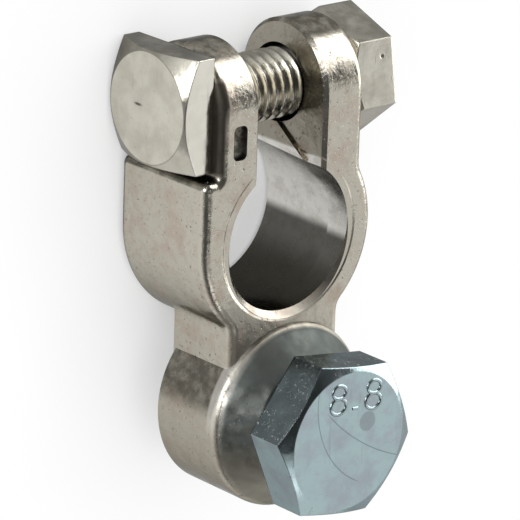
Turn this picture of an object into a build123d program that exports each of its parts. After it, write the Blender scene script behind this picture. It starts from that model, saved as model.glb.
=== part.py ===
from build123d import *
import math
import os

# Battery terminal clamp for a tapered battery post, pole at the split ring, cable bolt on the side boss.
# Frame: origin on the post bore axis at the clamp's underside, +Z up the post, +Y from the cable
# boss towards the ears, +X from the square bolt head towards the nut. Millimetres.

# ---- driving sizes of the clamp body
body_depth = 14.8            # height of the ring and ears along the post
bore_radius = 8.6            # small end of the post bore, at the top
bore_land = 3.2              # straight length at the top of the bore
bore_taper = 1 / 18          # radius gained for each millimetre down (1:9 on diameter)
bore_edge_break = 0.3        # broken edge at the bottom of the bore
sink_margin = 0.1            # countersink at the top of the bore, this much wider than the bore
sink_shift = 0.7             # its centre lies this far towards the boss, so it shows as a crescent
sink_taper = 1.3             # radius it loses for each millimetre down
ring_wall = 3.6              # ring wall at the small end of the bore
gap_width = 9.4              # opening between the two ears
left_ear_thickness = 5.4     # ear under the square bolt head
right_ear_thickness = 5.75   # ear under the nut
left_ear_drop = 0.5          # the left ear ends this much lower than the right one
pad_height = 0.4             # raised lower pad on the inner face of each ear
pad_lean = 35.0              # angle of the pad's sloping edge, degrees from the post axis
pad_top_drop = 2.7           # how far below the top face the pad ends
pinch_axis_reach = 6.6       # from the bore wall to the pinch bolt axis
arm_thickness = 9.9          # the neck and boss, measured down from the top face
neck_width = 15.8
lug_axis_reach = 20.9        # from the bore axis to the cable bolt axis
lug_axis_shift = 0.5         # the boss sits this far to the nut side of the bore axis
boss_radius = 10.8
rim_rise = 0.1               # the rim of the boss, before rounding, above the top face
rim_round = 1.2
nose_height = 4.5            # from the rim up to the seat of the cable bolt
crown_setback = 1.2          # the crown's corner, before rounding, outside the seat
crown_round = 2.0
seat_rim = 0.75              # flat seat left around the cable bolt's hole
edge_round = 1.0
inner_edge_break = 0.45      # chamfer on the gap side of the ears
boss_edge_break = 0.4        # chamfer under the boss
shoulder_corner_round = 0.5
ear_root_round = 2.5
neck_root_round = 2.0

# ---- polarity mark, a short bar sunk in the top of the left ear
mark_width = 1.9
mark_length = 3.9
mark_depth = 0.6
mark_inset = 1.4             # from the ear's gap face side to the bar, beyond the inner chamfer
mark_drop = 3.1              # from the pinch bolt axis down to the middle of the bar

# ---- pinch bolt and its nut (M8)
pinch_radius = 4.0
pinch_hole_clearance = 0.5
square_across = 13.0
square_height = 4.0
square_disc_share = 0.97     # round of the chamfered face against the across-flats size
square_chamfer_angle = 33.0
base_clearance = 0.1         # square head above the underside plane
head_gap = 0.6               # between the square head and the shoulder that stops it turning
nut_across = 13.0
nut_height = 5.8
nut_turn = 50.8              # how the nut came to rest, degrees
nut_disc_share = 0.93
nut_chamfer_angle = 35.0
bolt_end_proud = 0.6         # bolt tip beyond the nut
tip_chamfer = 0.9

# ---- cable bolt (M10)
lug_radius = 5.0
hex_across = 17.0
hex_height = 5.4
hex_turn = 52.1
hex_disc_share = 0.94
hex_chamfer_angle = 25.0
washer_face_radius = 7.9
washer_face_height = 0.6
lug_length = 16.0

# ---- fits
thread_clearance = 0.05      # radial room between a plain-modelled thread and its hole
overlap = 1.0                # how far joined solids reach into each other

# ---- sizes that follow from the ones above
top_z = body_depth
ring_radius = bore_radius + ring_wall
half_gap = gap_width / 2
left_face_x = -half_gap - left_ear_thickness
right_face_x = half_gap + right_ear_thickness
pinch_y = bore_radius + pinch_axis_reach
pinch_z = square_across / 2 + base_clearance
ear_radius = body_depth / 2
ear_top_y = pinch_y + ear_radius
left_centre_y = pinch_y - left_ear_drop
shoulder_y = pinch_y - square_across / 2 - head_gap
arm_bottom_z = top_z - arm_thickness
bore_base_radius = bore_radius + (body_depth - bore_land) * bore_taper
sink_radius = bore_radius + sink_margin
sink_depth = (sink_margin + sink_shift) / sink_taper + overlap
rim_z = top_z + rim_rise
seat_z = rim_z + nose_height
seat_radius = lug_radius + thread_clearance + seat_rim
hex_z = seat_z + washer_face_height
nut_start_x = right_face_x
nut_end_x = nut_start_x + nut_height
corner_share = 2 / math.sqrt(3)

pinch_axis = Axis((0, pinch_y, pinch_z), (1, 0, 0))
lug_axis = Axis((lug_axis_shift, -lug_axis_reach, 0), (0, 0, 1))
lug_plane = Plane.YZ.offset(lug_axis_shift)


def is_at(value, wanted):
    return abs(value - wanted) < 1e-4


# ---- clamp body, one forging
with BuildPart() as clamp_body:
    # ring, left block with the shoulder, and both ears before the gap is cut
    with BuildSketch(Plane.XY):
        Circle(ring_radius)
        with Locations((-ring_radius / 2, shoulder_y / 2)):
            Rectangle(ring_radius, shoulder_y)
        with Locations(((left_face_x + right_face_x) / 2, ear_top_y / 2)):
            Rectangle(right_face_x - left_face_x, ear_top_y)
        root_y = math.sqrt(ring_radius**2 - right_face_x**2)
        ear_root = [v for v in vertices() if is_at(v.X, right_face_x) and is_at(v.Y, root_y)]
        fillet(ear_root, ear_root_round)
        block_root = [v for v in vertices() if is_at(v.X, left_face_x) and is_at(v.Y, shoulder_y)]
        fillet(block_root, shoulder_corner_round)
    extrude(amount=body_depth)

    # the tops of the ears are half round about their mid-height
    for from_x, to_x, centre_y in (
        (left_face_x - overlap, 0, left_centre_y),
        (0, right_face_x + overlap, pinch_y),
    ):
        with BuildSketch(Plane.YZ.offset(from_x)):
            with Locations((centre_y + ear_radius, ear_radius)):
                Rectangle(2 * ear_radius, 2 * ear_radius)
            with Locations((centre_y, ear_radius)):
                Circle(ear_radius, mode=Mode.SUBTRACT)
        extrude(amount=to_x - from_x, mode=Mode.SUBTRACT)

    # neck, flush with the top face and shallower than the ring
    with BuildSketch(Plane.XY.offset(arm_bottom_z)):
        Circle(ring_radius)
        with Locations((0, -lug_axis_reach / 2)):
            Rectangle(neck_width, lug_axis_reach)
        neck_root = [v for v in vertices() if is_at(abs(v.X), neck_width / 2) and v.Y > -ring_radius]
        fillet(neck_root, neck_root_round)
    extrude(amount=arm_thickness)

    # outer edges, top and bottom, running over the ears
    outer = []
    for edge in edges():
        middle = edge @ 0.5
        flat_top = is_at(middle.Z, top_z) or is_at(middle.Z, 0)
        on_ears = middle.Y > shoulder_y + overlap
        seam = on_ears and (is_at((edge @ 0).Y, (edge @ 1).Y) or is_at(middle.X, 0))
        on_ear_side = is_at(middle.X, left_face_x) or is_at(middle.X, right_face_x)
        ear_arc = edge.geom_type == GeomType.CIRCLE and on_ear_side and middle.Y > pinch_y
        block_corner = is_at(middle.X, -ring_radius) and is_at(middle.Y, shoulder_y)
        neck_end = middle.Y < -lug_axis_reach + overlap
        if ((flat_top and not seam) or ear_arc or block_corner) and not neck_end:
            outer.append(edge)
    fillet(outer, edge_round)

    # gap between the ears
    with BuildSketch(Plane.XY):
        with Locations((0, ear_top_y / 2 + overlap)):
            Rectangle(gap_width, ear_top_y + 2 * overlap)
    extrude(amount=body_depth, mode=Mode.SUBTRACT)

    # small chamfer along the gap side of each ear
    inner = []
    for edge in edges():
        middle = edge @ 0.5
        on_gap_face = is_at(abs((edge @ 0).X), half_gap) and is_at(abs((edge @ 1).X), half_gap)
        flat_top = is_at(middle.Z, top_z) or is_at(middle.Z, 0)
        if on_gap_face and middle.Y > 0 and (flat_top or middle.Y > pinch_y + overlap):
            inner.append(edge)
    chamfer(inner, inner_edge_break)

    # raised lower pads on the gap faces, ending along a sloping edge
    pad_z = top_z - pad_top_drop
    pad_y = math.sqrt(bore_radius**2 - half_gap**2)
    pad_reach = (pad_z - inner_edge_break) / math.tan(math.radians(90 - pad_lean))
    for side in (-1, 1):
        with BuildSketch(Plane.YZ.offset(side * (half_gap - pad_height))):
            Polygon(
                (0, inner_edge_break),
                (pad_y + pad_reach, inner_edge_break),
                (pad_y, pad_z),
                (0, pad_z),
                align=None,
            )
        extrude(amount=side * (pad_height + inner_edge_break))

    # post bore: straight land, then the taper that matches the post
    with BuildSketch(Plane.XZ):
        Polygon(
            (0, -overlap),
            (bore_base_radius + bore_edge_break + overlap, -overlap),
            (bore_base_radius + bore_edge_break, 0),
            (bore_base_radius, bore_edge_break),
            (bore_radius, top_z - bore_land),
            (bore_radius, top_z + overlap),
            (0, top_z + overlap),
            align=None,
        )
    revolve(axis=Axis.Z, mode=Mode.SUBTRACT)

    # countersink of the bore, off centre, so that it fades out towards the ears
    with BuildSketch(Plane.YZ):
        Polygon(
            (-sink_shift, top_z - sink_depth),
            (-sink_shift + sink_radius - sink_depth * sink_taper, top_z - sink_depth),
            (-sink_shift + sink_radius + overlap * sink_taper, top_z + overlap),
            (-sink_shift, top_z + overlap),
            align=None,
        )
    revolve(axis=Axis((0, -sink_shift, 0), (0, 0, 1)), mode=Mode.SUBTRACT)

    # cable boss: a rounded rim, then a conical nose with a rounded crown under the bolt head
    with BuildSketch(lug_plane):
        side_y = -lug_axis_reach - boss_radius
        crown_y = -lug_axis_reach - seat_radius - crown_setback
        Polygon(
            (-lug_axis_reach, arm_bottom_z),
            (side_y + boss_edge_break, arm_bottom_z),
            (side_y, arm_bottom_z + boss_edge_break),
            (side_y, rim_z),
            (crown_y, seat_z),
            (-lug_axis_reach, seat_z),
            align=None,
        )
        rim = [v for v in vertices() if is_at(v.X, side_y) and is_at(v.Y, rim_z)]
        fillet(rim, rim_round)
        crown = [v for v in vertices() if is_at(v.X, crown_y) and is_at(v.Y, seat_z)]
        fillet(crown, crown_round)
    revolve(axis=lug_axis)

    # tapped hole of the boss, modelled plain
    with BuildSketch(Plane.XY.offset(arm_bottom_z)):
        with Locations((lug_axis_shift, -lug_axis_reach)):
            Circle(lug_radius + thread_clearance)
    extrude(amount=seat_z - arm_bottom_z, mode=Mode.SUBTRACT)

    # clearance hole through both ears for the pinch bolt
    with BuildSketch(Plane.YZ.offset(left_face_x)):
        with Locations((pinch_y, pinch_z)):
            Circle(pinch_radius + pinch_hole_clearance)
    extrude(amount=right_face_x - left_face_x, mode=Mode.SUBTRACT)

    # polarity bar
    with BuildSketch(Plane.XY.offset(top_z)):
        mark_x = -half_gap - inner_edge_break - mark_inset - mark_width / 2
        with Locations((mark_x, pinch_y - mark_drop)):
            RectangleRounded(mark_width, mark_length, mark_width / 3)
    extrude(amount=-mark_depth, mode=Mode.SUBTRACT)


# ---- pinch bolt, square head against the left ear
with BuildPart() as pinch_bolt:
    disc = square_disc_share * square_across / 2
    corner = square_across / 2 * math.sqrt(2) + overlap
    drop = (corner - disc) * math.tan(math.radians(square_chamfer_angle))
    head_face_x = left_face_x - square_height
    with BuildSketch(Plane.YZ.offset(head_face_x)):
        with Locations((pinch_y, pinch_z)):
            Rectangle(square_across, square_across)
    extrude(amount=square_height)
    with BuildSketch(Plane.XY.offset(pinch_z)):
        Polygon(
            (head_face_x, pinch_y),
            (head_face_x, pinch_y + disc),
            (head_face_x + drop, pinch_y + corner),
            (left_face_x + overlap, pinch_y + corner),
            (left_face_x + overlap, pinch_y),
            align=None,
        )
    revolve(axis=pinch_axis, mode=Mode.INTERSECT)
    bolt_end_x = nut_end_x + bolt_end_proud
    with BuildSketch(Plane.XY.offset(pinch_z)):
        Polygon(
            (head_face_x + overlap, pinch_y),
            (head_face_x + overlap, pinch_y + pinch_radius),
            (bolt_end_x - tip_chamfer, pinch_y + pinch_radius),
            (bolt_end_x, pinch_y + pinch_radius - tip_chamfer),
            (bolt_end_x, pinch_y),
            align=None,
        )
    revolve(axis=pinch_axis)


# ---- nut on the right ear
with BuildPart() as pinch_nut:
    disc = nut_disc_share * nut_across / 2
    corner = nut_across / 2 * corner_share + overlap
    drop = (corner - disc) * math.tan(math.radians(nut_chamfer_angle))
    bore = pinch_radius + thread_clearance
    with BuildSketch(Plane.YZ.offset(nut_start_x)):
        with Locations((pinch_y, pinch_z)):
            RegularPolygon(nut_across / 2 * corner_share, 6, rotation=nut_turn)
    extrude(amount=nut_height)
    with BuildSketch(Plane.XY.offset(pinch_z)):
        Polygon(
            (nut_start_x, pinch_y),
            (nut_start_x, pinch_y + disc),
            (nut_start_x + drop, pinch_y + corner),
            (nut_end_x, pinch_y + corner),
            (nut_end_x, pinch_y),
            align=None,
        )
    revolve(axis=pinch_axis, mode=Mode.INTERSECT)
    with BuildSketch(Plane.XY.offset(pinch_z)):
        Polygon(
            (nut_start_x, pinch_y),
            (nut_start_x, pinch_y + bore + tip_chamfer),
            (nut_start_x + tip_chamfer, pinch_y + bore),
            (nut_end_x - tip_chamfer, pinch_y + bore),
            (nut_end_x, pinch_y + bore + tip_chamfer),
            (nut_end_x, pinch_y),
            align=None,
        )
    revolve(axis=pinch_axis, mode=Mode.SUBTRACT)


# ---- hexagon cable bolt in the boss
with BuildPart() as lug_bolt:
    disc = hex_disc_share * hex_across / 2
    corner = hex_across / 2 * corner_share + overlap
    drop = (corner - disc) * math.tan(math.radians(hex_chamfer_angle))
    head_top_z = hex_z + hex_height
    with BuildSketch(Plane.XY.offset(hex_z)):
        with Locations((lug_axis_shift, -lug_axis_reach)):
            RegularPolygon(hex_across / 2 * corner_share, 6, rotation=hex_turn)
    extrude(amount=hex_height)
    with BuildSketch(lug_plane):
        Polygon(
            (-lug_axis_reach, hex_z),
            (-lug_axis_reach + corner, hex_z),
            (-lug_axis_reach + corner, head_top_z - drop),
            (-lug_axis_reach + disc, head_top_z),
            (-lug_axis_reach, head_top_z),
            align=None,
        )
    revolve(axis=lug_axis, mode=Mode.INTERSECT)
    lug_tip_z = seat_z - lug_length
    with BuildSketch(lug_plane):
        Polygon(
            (-lug_axis_reach, lug_tip_z),
            (-lug_axis_reach + lug_radius - tip_chamfer, lug_tip_z),
            (-lug_axis_reach + lug_radius, lug_tip_z + tip_chamfer),
            (-lug_axis_reach + lug_radius, seat_z),
            (-lug_axis_reach + washer_face_radius, seat_z),
            (-lug_axis_reach + washer_face_radius, hex_z),
            (-lug_axis_reach, hex_z),
            align=None,
        )
    revolve(axis=lug_axis)


clamp_body.part.label = "clamp_body"
pinch_bolt.part.label = "pinch_bolt"
pinch_nut.part.label = "pinch_nut"
lug_bolt.part.label = "lug_bolt"

os.makedirs("parts", exist_ok=True)
export_step(clamp_body.part, "parts/clamp_body.step")
export_step(pinch_bolt.part, "parts/pinch_bolt.step")
export_step(pinch_nut.part, "parts/pinch_nut.step")
export_step(lug_bolt.part, "parts/lug_bolt.step")
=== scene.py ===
import math

import bpy
from mathutils import Matrix, Vector

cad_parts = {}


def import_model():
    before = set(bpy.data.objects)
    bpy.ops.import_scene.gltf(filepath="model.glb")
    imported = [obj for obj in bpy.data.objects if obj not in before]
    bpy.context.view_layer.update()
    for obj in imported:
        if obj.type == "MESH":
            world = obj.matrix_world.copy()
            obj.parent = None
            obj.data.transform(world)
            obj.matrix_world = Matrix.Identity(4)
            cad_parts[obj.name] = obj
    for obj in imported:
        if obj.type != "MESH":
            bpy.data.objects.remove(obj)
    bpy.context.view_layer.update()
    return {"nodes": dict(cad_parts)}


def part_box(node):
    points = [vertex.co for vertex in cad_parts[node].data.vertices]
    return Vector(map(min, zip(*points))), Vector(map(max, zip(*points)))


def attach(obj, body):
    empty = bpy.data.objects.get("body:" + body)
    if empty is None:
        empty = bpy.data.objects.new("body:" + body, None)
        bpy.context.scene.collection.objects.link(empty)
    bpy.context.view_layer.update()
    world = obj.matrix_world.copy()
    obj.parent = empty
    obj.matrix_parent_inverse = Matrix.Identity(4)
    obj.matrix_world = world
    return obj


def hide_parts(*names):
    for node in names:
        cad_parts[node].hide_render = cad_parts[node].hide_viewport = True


# Battery terminal clamp: procedural metals on the CAD solids, a pinch bolt with a real thread and the
# strength grade on the cable bolt, on a white floor. Metres, in the frame's own axes: +Z up the battery
# post, +Y from the cable boss towards the ears, +X from the square bolt head towards the nut.

MM = 0.001

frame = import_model()
nodes = frame["nodes"]

# ---- places read from the frame
body_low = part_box("clamp_body")[0]
bolt_low, bolt_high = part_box("pinch_bolt")
nut_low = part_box("pinch_nut")[0]
cable_bolt_low, cable_bolt_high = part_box("lug_bolt")
pinch_y = (bolt_low.y + bolt_high.y) / 2
pinch_z = (bolt_low.z + bolt_high.z) / 2
lug_x = (cable_bolt_low.x + cable_bolt_high.x) / 2
lug_y = (cable_bolt_low.y + cable_bolt_high.y) / 2
hex_top_z = cable_bolt_high.z

# ---- sizes of the clamp body, as in the CAD
front_z = 14.8 * MM            # front face of the ring
bore_radius = 8.6 * MM
left_ear_x = -10.1 * MM        # face under the square head
right_ear_x = 4.7 * MM         # face of the right ear at the gap
boss_radius = 10.8 * MM
nose_foot_radius = 10.3 * MM   # the conical nose starts this far out from the cable bolt's axis

# ---- boxes that hold painted shade, each with its soft edge: the polarity bar's recess and the gap beside the square head
bar_low = Vector((-8.5, 10.1, 14.1)) * MM
bar_high = Vector((-6.5, 14.1, 14.72)) * MM
bar_soft = Vector((0.06, 0.06, 0.05)) * MM
gap_low = Vector((left_ear_x - 0.3 * MM, 8.6 * MM, 11 * MM))
gap_high = Vector((left_ear_x + 1.15 * MM, pinch_y + 4 * MM, front_z - 0.12 * MM))
gap_soft = Vector((0.2, 0.5, 0.12)) * MM

# ---- M8 thread of the pinch bolt
thread_crest = 4.0 * MM
thread_root = 3.36 * MM
thread_pitch = 1.25 * MM
thread_start_x = left_ear_x - 0.3 * MM
tip_chamfer = 0.9 * MM

# ---- flaws that the photo shows in the square head, the nut and the cable bolt's head
head_disc_radius = 6.305 * MM
head_nick = Vector((bolt_low.x, 15.3 * MM, 5.1 * MM))
nut_pit = Vector((14.65, 18.0, 12.73)) * MM
hex_spot = Vector((lug_x + 2.69 * MM, lug_y + 1.78 * MM, hex_top_z))
# each hairline is part of a circle: x, y and radius from the cable bolt's axis, then its ends in x
hairlines = (
    (6.7 * MM, 5.1 * MM, 11.4 * MM, -5.0 * MM, 1.4 * MM),
    (16.3 * MM, 21.6 * MM, 26.4 * MM, -2.9 * MM, 7.5 * MM),
)

# ---- directions that a surface faces
up = (0, 0, 1)
to_ears = (0, 1, 0)
to_boss = (0, -1, 0)
to_head = (-1, 0, 0)
# faces that point this way get painted shade
shaded_side = (-0.2, 0.8, -0.55)          # away from the boss and from the top face
rim_highlight_side = (-0.85, 0.42, 0.3)
darkest_flank_side = (-0.87, 0.5, 0)
shaded_chamfer_side = (-0.43, 0.25, 0.87)

# ---- stretches that turn a distance from a point into one from an axis through it
around_x = (0, 1, 1)
around_z = (1, 1, 0)

# ---- camera: the ring's front seen upright, turned, tilted and rolled a little
camera_turn = 41.012
camera_tilt = 18.485
camera_roll = 1.985
camera_distance = 455.7 * MM
camera_right = -3.13 * MM
camera_up = -2.62 * MM
camera_lens = 285.6
sensor_width = 36.0

# ---- floor and lamps
floor_half = 2.0
floor_gap = 0.02 * MM          # below the lowest point of the clamp
shadow_reach = 18 * MM
shadow_power = 0.45
lamp_distance = 2.0

# colours of the painted shade in creases and gaps
nickel_shade_colour = (0.035, 0.031, 0.024)
zinc_shade_colour = (0.03, 0.034, 0.034)


# ---- node helpers
def new_tree(name):
    material = bpy.data.materials.new(name)
    material.use_nodes = True
    tree = material.node_tree
    tree.nodes.clear()
    return material, tree


def connect(tree, value, socket):
    """Link a node's output to a socket, or set the socket to a constant."""
    if isinstance(value, bpy.types.NodeSocket):
        tree.links.new(value, socket)
    else:
        socket.default_value = value


def node(tree, kind, settings=None, **inputs):
    made = tree.nodes.new(kind)
    for key, value in (settings or {}).items():
        setattr(made, key, value)
    for key, value in inputs.items():
        connect(tree, value, made.inputs[key.replace("_", " ")])
    return made


def output_of(tree, kind, shader):
    tree.links.new(shader.outputs[0], node(tree, kind).inputs["Surface"])


def position(tree):
    """Object coordinates, which are the frame's own metres on every piece."""
    return node(tree, "ShaderNodeTexCoord").outputs["Object"]


def noise(tree, where, size, detail=3.0, roughness=0.5, distortion=0.0):
    """Noise whose features are about size metres wide, from 0 to 1."""
    made = node(
        tree,
        "ShaderNodeTexNoise",
        Vector=where,
        Scale=1 / size,
        Detail=detail,
        Roughness=roughness,
        Distortion=distortion,
    )
    return made.outputs["Fac"]


def ramp(tree, value, start, end, at_start=0.0, at_end=1.0):
    """A smooth step between two values, level before start and after end."""
    made = node(
        tree,
        "ShaderNodeMapRange",
        {"interpolation_type": "SMOOTHSTEP"},
        Value=value,
        From_Min=start,
        From_Max=end,
        To_Min=at_start,
        To_Max=at_end,
    )
    return made.outputs["Result"]


def fall(tree, value, start, end, most=1.0):
    return ramp(tree, value, start, end, most, 0.0)


def math_node(tree, operation, first, second=None):
    made = node(tree, "ShaderNodeMath", {"operation": operation})
    connect(tree, first, made.inputs[0])
    if second is not None:
        connect(tree, second, made.inputs[1])
    return made.outputs[0]


def plus(tree, first, second):
    return math_node(tree, "ADD", first, second)


def larger(tree, first, second):
    return math_node(tree, "MAXIMUM", first, second)


def outside(tree, mask):
    return math_node(tree, "SUBTRACT", 1.0, mask)


def times(tree, *factors):
    result = factors[0]
    for factor in factors[1:]:
        result = math_node(tree, "MULTIPLY", result, factor)
    return result


def vector_math(tree, operation, first, second=None):
    made = node(tree, "ShaderNodeVectorMath", {"operation": operation})
    connect(tree, first, made.inputs[0])
    if second is not None:
        connect(tree, second, made.inputs[1])
    return made.outputs["Value" if operation in ("LENGTH", "DOT_PRODUCT") else "Vector"]


def mix_colour(tree, factor, first, second):
    made = node(tree, "ShaderNodeMix", {"data_type": "RGBA"})
    sockets = {socket.identifier: socket for socket in made.inputs}
    connect(tree, factor, sockets["Factor_Float"])
    for name, colour in (("A_Color", first), ("B_Color", second)):
        connect(tree, (*colour, 1.0) if isinstance(colour, tuple) else colour, sockets[name])
    return next(socket for socket in made.outputs if socket.identifier == "Result_Color")


def bump(tree, height, distance, normal=None):
    made = node(tree, "ShaderNodeBump", Height=height, Distance=distance, Strength=1.0)
    if normal is not None:
        tree.links.new(normal, made.inputs["Normal"])
    return made.outputs["Normal"]


def metal(tree, colour, roughness, normal):
    shader = node(
        tree,
        "ShaderNodeBsdfPrincipled",
        Metallic=1.0,
        Specular_Tint=(0.45, 0.45, 0.45, 1.0),
        Base_Color=colour,
        Roughness=roughness,
        Normal=normal,
    )
    output_of(tree, "ShaderNodeOutputMaterial", shader)


# ---- masks
def distance_to(tree, where, centre, stretch=(1, 1, 1)):
    """Distance from a point, with each axis stretched."""
    offset = vector_math(tree, "SUBTRACT", where, centre)
    return vector_math(tree, "LENGTH", vector_math(tree, "MULTIPLY", offset, stretch))


def facing(tree, direction):
    """How far the surface faces a direction of its own body, from -1 to 1."""
    normal = node(tree, "ShaderNodeTexCoord").outputs["Normal"]
    return vector_math(tree, "DOT_PRODUCT", normal, Vector(direction).normalized())


def coordinate(tree, where, axis):
    return node(tree, "ShaderNodeSeparateXYZ", Vector=where).outputs[axis]


def within(tree, where, axis, low, high, soft):
    """1 where one coordinate lies between low and high, with soft ends."""
    value = coordinate(tree, where, axis)
    rise = ramp(tree, value, low - soft, low + soft)
    return times(tree, rise, fall(tree, value, high - soft, high + soft))


def in_box(tree, where, low, high, soft):
    """1 inside a box, with a soft edge along each axis."""
    spans = zip("XYZ", low, high, soft)
    return times(tree, *(within(tree, where, *span) for span in spans))


def fine_line(tree, distance, radius, core, edge, most):
    """A line where a distance equals radius: full to core off it, gone at edge."""
    off_line = math_node(tree, "ABSOLUTE", math_node(tree, "SUBTRACT", distance, radius))
    return fall(tree, off_line, core, edge, most)


def painted_side_shade(tree, where, start, end, patch, least):
    """Painted shade: dark patches that thicken on the sides that face away from the boss."""
    side = ramp(tree, facing(tree, shaded_side), start, end)
    patches = ramp(tree, noise(tree, where, patch, detail=5.0, roughness=0.62), 0.30, 0.62, least, 1.0)
    return times(tree, side, patches)


def occlusion_shade(tree, reach, start, end):
    """Painted shade: 1 deep in creases and narrow gaps, 0 on open faces."""
    opening = node(tree, "ShaderNodeAmbientOcclusion", {"samples": 6}, Distance=reach).outputs["AO"]
    return fall(tree, opening, start, end)


def soft_edge(tree, radius):
    return node(tree, "ShaderNodeBevel", {"samples": 6}, Radius=radius).outputs["Normal"]


def scratches(tree, where, turn, size, width):
    """Fine lines, stretched along one axis and broken up along their length."""
    turned = node(tree, "ShaderNodeMapping", Vector=where, Rotation=turn, Scale=(1.0, 0.06, 1.0))
    lines = noise(tree, turned.outputs["Vector"], size, detail=2.0, roughness=0.7, distortion=0.4)
    return ramp(tree, lines, 0.66 - width, 0.70)


# ---- plated forging: satin nickel over a slightly uneven skin
def forging_skin(tree, where):
    """Colour of the mottled skin, and the mask of its small brown pits."""
    grey = (0.50, 0.475, 0.405)
    pink = (0.465, 0.405, 0.34)
    pale = (0.60, 0.575, 0.50)
    stain = (0.16, 0.135, 0.105)
    mottle = noise(tree, where, 3.4 * MM, detail=5.0, roughness=0.62)
    fine_mottle = noise(tree, where, 0.85 * MM, detail=4.0, roughness=0.7)
    spots = noise(tree, where, 0.6 * MM, detail=3.0, roughness=0.7)
    pits = ramp(tree, noise(tree, where, 0.42 * MM, detail=2.0, roughness=0.7), 0.63, 0.74)
    colour = mix_colour(tree, ramp(tree, mottle, 0.46, 0.68), grey, pink)
    colour = mix_colour(tree, ramp(tree, fine_mottle, 0.50, 0.68, 0.0, 0.75), colour, pink)
    colour = mix_colour(tree, ramp(tree, spots, 0.60, 0.74, 0.0, 0.7), colour, pale)
    return mix_colour(tree, times(tree, pits, 0.7), colour, stain), pits


def bore_masks(tree, where):
    """The machined wall of the bore, and the rough skin everywhere else."""
    from_axis = distance_to(tree, where, (0, 0, 0), around_z)
    skin = ramp(tree, from_axis, bore_radius + 0.7 * MM, bore_radius + 1.1 * MM)
    in_bore = times(tree, outside(tree, skin), fall(tree, facing(tree, up), 0.2, 0.5))
    return in_bore, skin


def boss_masks(tree, where):
    """The machined nose under the cable bolt, and the rounded rim around it."""
    foot_soft = 0.2 * MM
    rim_reach = 0.9 * MM           # how far the rim reaches inwards over the foot of the nose
    from_lug = distance_to(tree, where, (lug_x, lug_y, 0), around_z)
    nose = times(
        tree,
        fall(tree, from_lug, nose_foot_radius - foot_soft, nose_foot_radius + foot_soft),
        within(tree, where, "Z", front_z + 0.5 * MM, hex_top_z, 0.12 * MM),
    )
    rim = times(
        tree,
        ramp(tree, from_lug, nose_foot_radius - rim_reach, nose_foot_radius - foot_soft),
        within(tree, where, "Z", front_z - 1.1 * MM, front_z + 1.0 * MM, 0.2 * MM),
        fall(tree, from_lug, boss_radius, boss_radius + 0.3 * MM),
        ramp(tree, coordinate(tree, where, "Y"), lug_y - 3 * MM, lug_y + 1 * MM),
    )
    return nose, rim


def nose_painted_reflections(tree, where, nose, colour):
    """Painted reflections on the nose: a dark slate tone, painted shade on the side towards the ring and a
    painted brown reflection on the far side.
    """
    slate = (0.21, 0.235, 0.225)
    shade_slate = (0.09, 0.10, 0.095)
    brown = (0.30, 0.27, 0.21)
    cloud = ramp(tree, noise(tree, where, 2.2 * MM, detail=4.0, roughness=0.6), 0.35, 0.65, 0.72, 1.0)
    colour = mix_colour(tree, times(tree, nose, cloud), colour, slate)
    upper_shade = ramp(tree, facing(tree, to_ears), 0.05, 0.45, 0.0, 0.75)
    colour = mix_colour(tree, times(tree, nose, upper_shade), colour, shade_slate)
    lower_reflection = ramp(tree, facing(tree, to_boss), 0.0, 0.30, 0.0, 0.6)
    return mix_colour(tree, times(tree, nose, lower_reflection), colour, brown)


def forging_crease_shade(tree, where):
    """Painted shade in the creases, in the gap beside the square head and in the polarity bar's recess."""
    bar_patches = ramp(tree, noise(tree, where, 0.8 * MM, detail=4.0, roughness=0.7), 0.30, 0.62, 0.45, 1.0)
    beside_head = in_box(tree, where, gap_low, gap_high, gap_soft)
    in_bar = in_box(tree, where, bar_low, bar_high, bar_soft)
    crease_shade = larger(tree, occlusion_shade(tree, 2.2 * MM, 0.20, 0.46), times(tree, beside_head, 1.05))
    return larger(tree, crease_shade, times(tree, in_bar, bar_patches))


def forging_relief(tree, where, skin, nose, pits):
    """Waves and orange peel on the skin, a dented nose, a fine grain and the sunk pits."""
    rough = times(tree, skin, outside(tree, times(tree, nose, 0.7)))
    wave = noise(tree, where, 2.4 * MM, detail=2.0, roughness=0.4)
    dents = noise(tree, where, 3.2 * MM, detail=1.0)
    peel = noise(tree, where, 0.7 * MM, detail=3.0, roughness=0.6)
    grain = noise(tree, where, 0.16 * MM, detail=2.0, roughness=0.6)
    normal = bump(tree, times(tree, wave, rough), 0.11 * MM)
    normal = bump(tree, times(tree, dents, nose), 0.22 * MM, normal)
    normal = bump(tree, times(tree, peel, rough), 0.04 * MM, normal)
    normal = bump(tree, grain, 0.005 * MM, normal)
    return bump(tree, times(tree, outside(tree, pits), rough), 0.03 * MM, normal)


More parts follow.
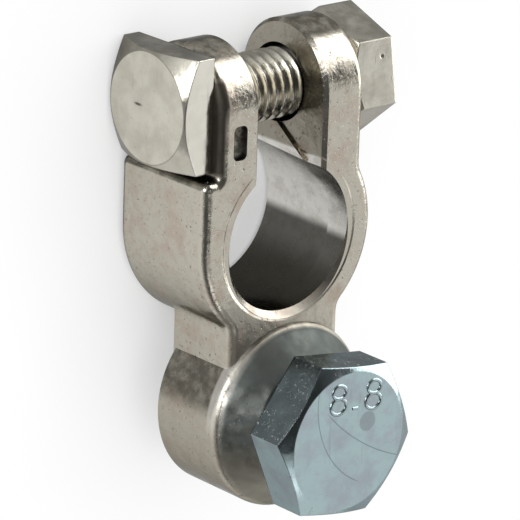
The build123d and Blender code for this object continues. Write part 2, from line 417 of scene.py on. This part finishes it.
def plated_forging():
    machined_nickel = (0.92, 0.91, 0.86)
    brown = (0.24, 0.215, 0.17)
    side_shade_colour = (0.062, 0.058, 0.047)
    bore_shade_colour = (0.045, 0.042, 0.034)
    rim_highlight_colour = (0.95, 0.93, 0.87)
    gap_shade_colour = (0.20, 0.185, 0.15)
    material, tree = new_tree("satin_nickel_forging")
    where = position(tree)
    colour, pits = forging_skin(tree, where)

    # the bore is machined before plating, so it is smoother and brighter than the skin
    in_bore, skin = bore_masks(tree, where)
    machined = ramp(tree, noise(tree, where, 1.8 * MM, detail=5.0, roughness=0.65), 0.40, 0.66, 0.92, 0.62)
    colour = mix_colour(tree, times(tree, in_bore, machined), colour, machined_nickel)

    # sides near the boss are browner
    near_boss = fall(tree, coordinate(tree, where, "Y"), -30 * MM, -2 * MM, 0.55)
    sideways = fall(tree, facing(tree, up), 0.75, 0.95)
    colour = mix_colour(tree, times(tree, near_boss, sideways, skin), colour, brown)

    # painted shade on the skin, and on the half of the bore that faces the same way
    darker_tone_and_shade = times(tree, painted_side_shade(tree, where, 0.26, 0.44, patch=1.6 * MM, least=0.60), outside(tree, in_bore))
    colour = mix_colour(tree, times(tree, darker_tone_and_shade, 0.88), colour, side_shade_colour)
    side = facing(tree, shaded_side)
    bore_side_shade = times(tree, in_bore, ramp(tree, side, 0.28, 0.40), ramp(tree, side, 0.50, 0.80, 0.88, 0.985))
    colour = mix_colour(tree, bore_side_shade, colour, bore_shade_colour)

    # the nose with its painted reflections, and a painted highlight on one side of its rim
    nose, rim = boss_masks(tree, where)
    colour = nose_painted_reflections(tree, where, nose, colour)
    # painted highlight on one side of the rim
    rim_highlight = times(tree, rim, ramp(tree, facing(tree, rim_highlight_side), 0.78, 0.95, 0.0, 0.32))
    colour = mix_colour(tree, rim_highlight, colour, rim_highlight_colour)

    # painted shade on the gap side of the right ear
    gap_face_shade = times(
        tree,
        within(tree, where, "X", right_ear_x - 1.2 * MM, right_ear_x + 1.8 * MM, 0.5 * MM),
        ramp(tree, facing(tree, to_head), 0.85, 0.98),
        skin,
    )
    colour = mix_colour(tree, times(tree, gap_face_shade, 0.45), colour, gap_shade_colour)
    # painted shade in creases, beside the square head and in the polarity bar
    crease_shade = forging_crease_shade(tree, where)
    colour = mix_colour(tree, times(tree, crease_shade, 0.86), colour, nickel_shade_colour)

    # the neck's front is rougher than the rest
    neck_front = times(
        tree,
        within(tree, where, "Y", lug_y + 6 * MM, lug_y + 14 * MM, 1.0 * MM),
        ramp(tree, facing(tree, up), 0.2, 0.5),
    )
    roughness = ramp(tree, noise(tree, where, 1.7 * MM, detail=4.0, roughness=0.6), 0.3, 0.7, 0.17, 0.31)
    for mask, added in ((crease_shade, 0.3), (rim, 0.10), (nose, 0.13), (neck_front, 0.20)):
        roughness = plus(tree, roughness, times(tree, mask, added))
    metal(tree, colour, roughness, forging_relief(tree, where, skin, nose, pits))
    return material


# ---- bright nickel of the square head, its thread and the nut
def head_finish(tree, where, colour):
    """The turned disc of the square head, its duller chamfer and a painted highlight on its upper flank."""
    line_dark = (0.20, 0.185, 0.15)
    chamfer_dull = (0.26, 0.25, 0.21)
    flank_highlight_colour = (0.90, 0.87, 0.79)
    from_bolt = distance_to(tree, where, (0, pinch_y, pinch_z), around_x)
    at_face = within(tree, where, "X", bolt_low.x - 0.2 * MM, bolt_low.x + 0.25 * MM, 0.02 * MM)
    edge_line = fine_line(tree, from_bolt, head_disc_radius, 0.03 * MM, 0.11 * MM, 0.55)
    colour = mix_colour(tree, times(tree, edge_line, at_face), colour, line_dark)
    chamfer = times(
        tree,
        ramp(tree, from_bolt, head_disc_radius, head_disc_radius + 0.05 * MM),
        ramp(tree, facing(tree, to_head), 0.6, 0.7),
        0.30,
    )
    colour = mix_colour(tree, chamfer, colour, chamfer_dull)
    # painted highlight on the flank that faces up
    flank_highlight = times(
        tree,
        ramp(tree, facing(tree, up), 0.90, 0.97, 0.0, 0.5),
        within(tree, where, "X", bolt_low.x - 1 * MM, left_ear_x, 0.1 * MM),
    )
    return mix_colour(tree, flank_highlight, colour, flank_highlight_colour)


def bright_nickel():
    light = (0.62, 0.595, 0.52)
    darker_tone_and_shade = (0.50, 0.475, 0.405)
    speck_dark = (0.22, 0.20, 0.165)
    scratch_dark = (0.30, 0.28, 0.24)
    side_shade_colour = (0.055, 0.053, 0.045)
    flaw_dark = (0.05, 0.046, 0.038)
    material, tree = new_tree("bright_nickel_steel")
    where = position(tree)
    cloud = ramp(tree, noise(tree, where, 3.2 * MM, detail=4.0, roughness=0.55), 0.35, 0.7)
    specks = ramp(tree, noise(tree, where, 0.35 * MM, detail=2.0, roughness=0.7), 0.66, 0.76, 0.0, 0.5)
    marks = scratches(tree, where, turn=(0.9, 0.2, 0.5), size=0.35 * MM, width=0.02)
    # painted shade on the sides that face away from the boss
    away_side_shade = painted_side_shade(tree, where, 0.34, 0.56, patch=2.4 * MM, least=0.7)
    colour = mix_colour(tree, cloud, light, darker_tone_and_shade)
    colour = mix_colour(tree, specks, colour, speck_dark)
    colour = mix_colour(tree, times(tree, marks, 0.25), colour, scratch_dark)
    colour = mix_colour(tree, times(tree, away_side_shade, 0.69), colour, side_shade_colour)
    colour = head_finish(tree, where, colour)
    # painted shade in creases and narrow gaps
    crease_shade = occlusion_shade(tree, 1.6 * MM, 0.25, 0.60)
    colour = mix_colour(tree, times(tree, crease_shade, 0.85), colour, nickel_shade_colour)

    # a nick in the square head's face and a pit in one flat of the nut
    nick = fall(tree, distance_to(tree, where, head_nick, (1, 3.0, 0.8)), 0.15 * MM, 0.75 * MM)
    pit = fall(tree, distance_to(tree, where, nut_pit), 0.12 * MM, 0.34 * MM)
    flaw = larger(tree, nick, pit)
    colour = mix_colour(tree, times(tree, flaw, 0.85), colour, flaw_dark)

    roughness = ramp(tree, noise(tree, where, 1.5 * MM, detail=4.0), 0.3, 0.7, 0.12, 0.22)
    for mask, added in ((crease_shade, 0.3), (flaw, 0.35)):
        roughness = plus(tree, roughness, times(tree, mask, added))
    normal = bump(tree, noise(tree, where, 2.0 * MM, detail=2.0), 0.04 * MM, soft_edge(tree, 0.22 * MM))
    normal = bump(tree, outside(tree, flaw), 0.04 * MM, normal)
    normal = bump(tree, marks, 0.004 * MM, normal)
    normal = bump(tree, noise(tree, where, 0.12 * MM, detail=2.0), 0.002 * MM, normal)
    metal(tree, colour, roughness, normal)
    return material


# ---- blue-grey zinc of the cable bolt
def hex_flanks(tree, where, colour):
    """Flanks darker than the face, painted shade on the flanks and chamfer that face away from the boss, and
    pale scuffs.
    """
    darker_tone_and_shade = (0.13, 0.16, 0.165)
    away_side_shade = (0.055, 0.068, 0.072)
    chamfer_shade_colour = (0.05, 0.058, 0.06)
    darkest_flank_colour = (0.04, 0.048, 0.05)
    scuff_pale = (0.50, 0.54, 0.54)
    upright = fall(tree, facing(tree, up), 0.15, 0.35)
    colour = mix_colour(tree, times(tree, upright, 0.5), colour, darker_tone_and_shade)
    # painted shade: darker on the flanks that face away from the boss, darkest on one flank, and on one
    # chamfer
    flank = times(tree, upright, ramp(tree, facing(tree, shaded_side), 0.36, 0.52))
    patches = ramp(tree, noise(tree, where, 2.0 * MM, detail=4.0, roughness=0.6), 0.30, 0.60, 0.82, 1.0)
    colour = mix_colour(tree, times(tree, flank, patches, 0.66), colour, away_side_shade)
    chamfer = ramp(tree, facing(tree, shaded_chamfer_side), 0.93, 0.985, 0.0, 0.7)
    colour = mix_colour(tree, chamfer, colour, chamfer_shade_colour)
    darkest_flank = ramp(tree, facing(tree, darkest_flank_side), 0.80, 0.95)
    colour = mix_colour(tree, times(tree, upright, darkest_flank, patches, 0.55), colour, darkest_flank_colour)
    scuffs = times(
        tree,
        ramp(tree, noise(tree, where, 0.5 * MM, detail=5.0, roughness=0.85), 0.54, 0.68),
        ramp(tree, noise(tree, where, 2.6 * MM, detail=2.0), 0.38, 0.56),
    )
    colour = mix_colour(tree, times(tree, flank, scuffs, 0.9), colour, scuff_pale)
    return colour, times(tree, flank, scuffs)


def hex_face_marks(tree, where, colour):
    """A round worn spot, and two long hairlines that curve across the face."""
    spot_dark = (0.22, 0.25, 0.27)
    hairline_dark = (0.12, 0.16, 0.17)
    from_spot = distance_to(tree, where, hex_spot, (1, 1, 0.2))
    colour = mix_colour(tree, fall(tree, from_spot, 1.05 * MM, 1.25 * MM, 0.55), colour, spot_dark)
    on_face = ramp(tree, facing(tree, up), 0.97, 0.99)
    for x, y, radius, start_x, end_x in hairlines:
        from_centre = distance_to(tree, where, (lug_x + x, lug_y + y, 0), around_z)
        hairline = times(
            tree,
            fine_line(tree, from_centre, radius, 0.02 * MM, 0.10 * MM, 0.6),
            on_face,
            within(tree, where, "X", lug_x + start_x, lug_x + end_x, 0.5 * MM),
        )
        colour = mix_colour(tree, hairline, colour, hairline_dark)
    return colour


def zinc():
    pale = (0.40, 0.515, 0.53)
    slate = (0.36, 0.42, 0.45)
    violet = (0.40, 0.40, 0.45)
    scratch_dark = (0.20, 0.23, 0.25)
    material, tree = new_tree("bright_zinc_steel")
    where = position(tree)
    cloud = ramp(tree, noise(tree, where, 3.0 * MM, detail=4.0), 0.35, 0.7)
    tint = ramp(tree, noise(tree, where, 1.3 * MM, detail=4.0, roughness=0.6), 0.52, 0.72, 0.0, 0.6)
    marks = scratches(tree, where, turn=(0.4, 0.3, 0.9), size=0.5 * MM, width=0.03)
    colour = mix_colour(tree, cloud, pale, slate)
    colour = mix_colour(tree, tint, colour, violet)
    colour = mix_colour(tree, times(tree, marks, 0.35), colour, scratch_dark)
    colour, scuffed = hex_flanks(tree, where, colour)
    colour = hex_face_marks(tree, where, colour)
    # painted shade in creases and narrow gaps
    crease_shade = occlusion_shade(tree, 1.6 * MM, 0.25, 0.60)
    colour = mix_colour(tree, times(tree, crease_shade, 0.8), colour, zinc_shade_colour)

    roughness = ramp(tree, noise(tree, where, 1.5 * MM, detail=4.0), 0.3, 0.7, 0.16, 0.28)
    roughness = plus(tree, roughness, times(tree, crease_shade, 0.3))
    normal = bump(tree, noise(tree, where, 1.6 * MM, detail=3.0), 0.035 * MM, soft_edge(tree, 0.25 * MM))
    normal = bump(tree, marks, 0.004 * MM, normal)
    normal = bump(tree, scuffed, 0.02 * MM, normal)
    normal = bump(tree, noise(tree, where, 0.12 * MM, detail=2.0), 0.002 * MM, normal)
    metal(tree, colour, roughness, normal)
    return material


forging_metal = plated_forging()
nickel_metal = bright_nickel()
zinc_metal = zinc()
for name, material in (
    ("clamp_body", forging_metal),
    ("pinch_nut", nickel_metal),
    ("lug_bolt", zinc_metal),
):
    for slot in nodes[name].material_slots:
        slot.material = material


# ---- pinch bolt: the CAD's square head, with a threaded shank in place of the plain one
def add_piece(name, data):
    piece = bpy.data.objects.new(name, data)
    bpy.context.scene.collection.objects.link(piece)
    return piece


def square_head(points):
    """Add the CAD bolt's points and give its faces, all but those of the plain shank."""
    margin = 0.05 * MM
    mesh = nodes["pinch_bolt"].data
    faces = []
    kept = {}
    for polygon in mesh.polygons:
        along = [mesh.vertices[i].co.x for i in polygon.vertices]
        if min(along) > left_ear_x - margin and max(along) > left_ear_x + margin:
            continue
        for i in polygon.vertices:
            if i not in kept:
                kept[i] = len(points)
                points.append(tuple(mesh.vertices[i].co))
        faces.append([kept[i] for i in polygon.vertices])
    return faces


def thread_profile(turns):
    """Height share of the thread, 0 at the root and 1 at the crest."""
    root_flat = 0.2
    flank = 0.68
    slope = abs(2 * (turns % 1) - 1)
    return min(1.0, max(0.0, (slope - root_flat) / flank))


def threaded_shank(points):
    """Add rings of points around the shank and give its faces, with the end closed."""
    around = 96
    per_pitch = 20
    length = bolt_high.x - thread_start_x
    rows = round(length / thread_pitch * per_pitch)
    first = len(points)
    for row in range(rows + 1):
        x = thread_start_x + length * row / rows
        tip_cone = thread_crest - tip_chamfer + (bolt_high.x - x)
        for column in range(around):
            turn = column / around
            height = thread_profile((x - thread_start_x) / thread_pitch - turn)
            radius = min(tip_cone, thread_root + (thread_crest - thread_root) * height)
            angle = 2 * math.pi * turn
            y = pinch_y + radius * math.cos(angle)
            z = pinch_z + radius * math.sin(angle)
            points.append((x, y, z))
    faces = []
    for row in range(rows):
        for column in range(around):
            a = first + row * around + column
            b = first + row * around + (column + 1) % around
            faces.append([a, b, b + around, a + around])
    faces.append([first + rows * around + column for column in range(around)])
    return faces


def threaded_bolt():
    points = []
    faces = square_head(points)
    faces += threaded_shank(points)
    mesh = bpy.data.meshes.new("pinch_bolt_threaded")
    mesh.from_pydata(points, [], faces)
    mesh.update()
    piece = add_piece("pinch_bolt_threaded", mesh)
    mesh.materials.append(nickel_metal)
    for polygon in mesh.polygons:
        polygon.use_smooth = True
    mesh.set_sharp_from_angle(angle=math.radians(28))
    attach(piece, "clamp")
    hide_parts("pinch_bolt")


threaded_bolt()


# ---- strength grade on the cable bolt: two raised eights, with the point drawn as a short dash
def loop_of_eight(spline, centre, half_width, half_height, placed):
    """Shape a new spline as a closed ellipse."""
    round_handle = 0.5523
    spline.bezier_points.add(3)
    for i, point in enumerate(spline.bezier_points):
        angle = i * math.pi / 2
        place = centre + Vector((half_width * math.cos(angle), half_height * math.sin(angle), 0))
        along = Vector((-half_width * math.sin(angle), half_height * math.cos(angle), 0)) * round_handle
        point.co = placed(place)
        point.handle_left = placed(place - along)
        point.handle_right = placed(place + along)
    spline.use_cyclic_u = True


def grade_mark():
    loops = (
        (0.85 * MM, 0.95 * MM, 0.75 * MM),     # upper loop: height of its centre, half width, half height
        (-0.80 * MM, 1.10 * MM, 0.90 * MM),
    )
    wire = 0.25 * MM
    spacing = 5.14 * MM
    dash_start = Vector((-0.45, -1.35, -0.08)) * MM
    dash_end = Vector((0.35, -1.35, -0.08)) * MM
    turned = Matrix.Rotation(math.radians(-3.9), 3, "Z")
    mark_centre = Vector((lug_x + 0.92 * MM, lug_y + 5.03 * MM, hex_top_z - 0.08 * MM))

    def placed(point):
        return mark_centre + turned @ point

    curve = bpy.data.curves.new("grade_mark", "CURVE")
    curve.dimensions = "3D"
    curve.bevel_depth = wire
    curve.bevel_resolution = 4
    curve.resolution_u = 12
    for side in (-0.5, 0.5):
        for y, half_width, half_height in loops:
            centre = Vector((side * spacing, y, 0))
            loop_of_eight(curve.splines.new("BEZIER"), centre, half_width, half_height, placed)
    dash = curve.splines.new("POLY")
    dash.points.add(1)
    for point, end in zip(dash.points, (dash_start, dash_end)):
        point.co = (*placed(end), 1)
    piece = add_piece("grade_mark", curve)
    curve.materials.append(zinc_metal)
    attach(piece, "cable_bolt")


grade_mark()


# ---- floor: white where it lies open, with a soft shadow close to the clamp
def floor_material():
    material, tree = new_tree("pale_floor")
    path = node(tree, "ShaderNodeLightPath")
    seen = larger(tree, path.outputs["Is Camera Ray"], path.outputs["Is Glossy Ray"])
    seen = larger(tree, seen, path.outputs["Is Transmission Ray"])
    lit = node(tree, "ShaderNodeBsdfDiffuse", Color=(0.9, 0.9, 0.9, 1.0))
    white = node(tree, "ShaderNodeEmission", Color=(1.0, 1.0, 1.0, 1.0), Strength=1.0)
    opening = node(tree, "ShaderNodeAmbientOcclusion", {"samples": 8}, Distance=shadow_reach)
    unshadowed = math_node(tree, "POWER", opening.outputs["AO"], shadow_power)
    mixed = node(tree, "ShaderNodeMixShader")
    tree.links.new(times(tree, seen, unshadowed), mixed.inputs[0])
    tree.links.new(lit.outputs[0], mixed.inputs[1])
    tree.links.new(white.outputs[0], mixed.inputs[2])
    output_of(tree, "ShaderNodeOutputMaterial", mixed)
    return material


def floor():
    z = min(low.z for low in (body_low, nut_low, bolt_low)) - floor_gap
    corners = [(x * floor_half, y * floor_half, z) for x, y in ((-1, -1), (1, -1), (1, 1), (-1, 1))]
    mesh = bpy.data.meshes.new("floor")
    mesh.from_pydata(corners, [], [(0, 1, 2, 3)])
    piece = add_piece("floor", mesh)
    mesh.materials.append(floor_material())


floor()


# ---- light: a pale horizon, a dim zenith and four soft boxes
def softbox(name, azimuth, elevation, width, height, radiance):
    light = bpy.data.lights.new(name, "AREA")
    light.shape = "RECTANGLE"
    light.size = width
    light.size_y = height
    light.energy = radiance * math.pi * width * height
    a = math.radians(azimuth)
    e = math.radians(elevation)
    place = Vector((math.cos(e) * math.cos(a), math.cos(e) * math.sin(a), math.sin(e))) * lamp_distance
    box = add_piece(name, light)
    box.location = place
    box.rotation_euler = place.to_track_quat("Z", "Y").to_euler()


softbox("key_light", azimuth=27, elevation=20, width=3.0, height=1.45, radiance=3.4)
softbox("side_light", azimuth=155, elevation=14, width=1.15, height=1.05, radiance=5.0)
softbox("front_light", azimuth=-50, elevation=38, width=3.1, height=2.0, radiance=0.80)
softbox("boss_light", azimuth=-98, elevation=56, width=0.9, height=0.9, radiance=1.0)


def world():
    horizon = (0.50, 0.50, 0.50)
    zenith = (0.10, 0.10, 0.10)
    made = bpy.data.worlds.new("studio")
    bpy.context.scene.world = made
    made.use_nodes = True
    tree = made.node_tree
    tree.nodes.clear()
    direction = node(tree, "ShaderNodeTexCoord").outputs["Generated"]
    dim = ramp(tree, coordinate(tree, direction, "Z"), 0.10, 0.45)
    colour = mix_colour(tree, dim, horizon, zenith)
    background = node(tree, "ShaderNodeBackground", Strength=1.0, Color=colour)
    output_of(tree, "ShaderNodeOutputWorld", background)


world()


# ---- camera
def camera():
    data = bpy.data.cameras.new("camera")
    data.lens = camera_lens
    data.sensor_width = sensor_width
    data.clip_start = 0.01
    data.clip_end = 20
    made = add_piece("camera", data)
    turned = Matrix.Rotation(math.radians(-camera_turn), 4, "Y")
    aimed = turned @ Matrix.Rotation(math.radians(-camera_tilt), 4, "X")
    offset = aimed @ Vector((camera_right, camera_up, camera_distance))
    place = Matrix.Translation(Vector((0, 0, front_z)) + offset)
    made.matrix_world = place @ aimed @ Matrix.Rotation(math.radians(camera_roll), 4, "Z")
    bpy.context.scene.camera = made


camera()
bpy.context.scene.view_settings.view_transform = "Standard"
